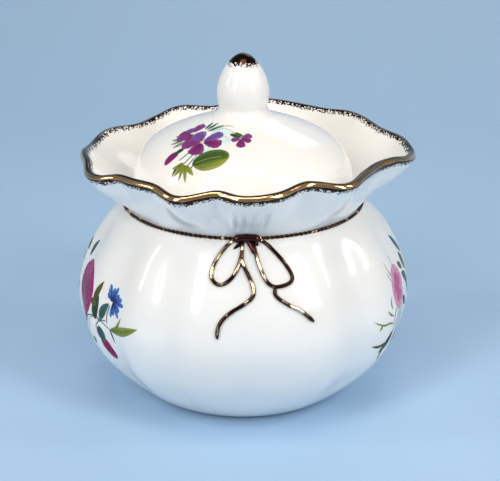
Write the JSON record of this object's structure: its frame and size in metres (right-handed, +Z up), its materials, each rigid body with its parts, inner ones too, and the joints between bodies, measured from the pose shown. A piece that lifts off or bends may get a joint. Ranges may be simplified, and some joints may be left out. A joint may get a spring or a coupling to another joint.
{
  "type": "sugar bowl",
  "caption": "Lidded bone-china sugar bowl shaped as a tied cloth pouch, with a frilled collar, relief bow and pointed knob.",
  "frame": {"origin": "the bowl's axis in the plane that the foot stands on; the middle of the whole outline to within a millimetre", "axes": "+Z up along the bowl's axis, -Y towards the bow at the front, +X to the right of someone who faces the bow"},
  "size_m": [0.1118, 0.1086, 0.113],
  "materials": {
    "glazed_china": "clear glossy glaze over white bone china",
    "gilding": "burnished bright gold over relief clay, dark in its reflections"
  },
  "bodies": {
    "bowl": {"pouch": "glazed_china", "collar": "glazed_china", "neck_cord": "gilding", "bow_knot": "gilding", "bow_loop_left": "gilding", "bow_loop_right": "gilding", "bow_tail_left": "gilding", "bow_tail_right": "gilding"},
    "lid": {"lid_dome": "glazed_china", "lid_ring": "glazed_china", "lid_knob": "glazed_china"}
  },
  "joints": [
    {"name": "lid_lift", "type": "slide", "parent": "bowl", "child": "lid", "axis": [0, 0, 1], "range_m": [0, 0.05]}
  ]
}
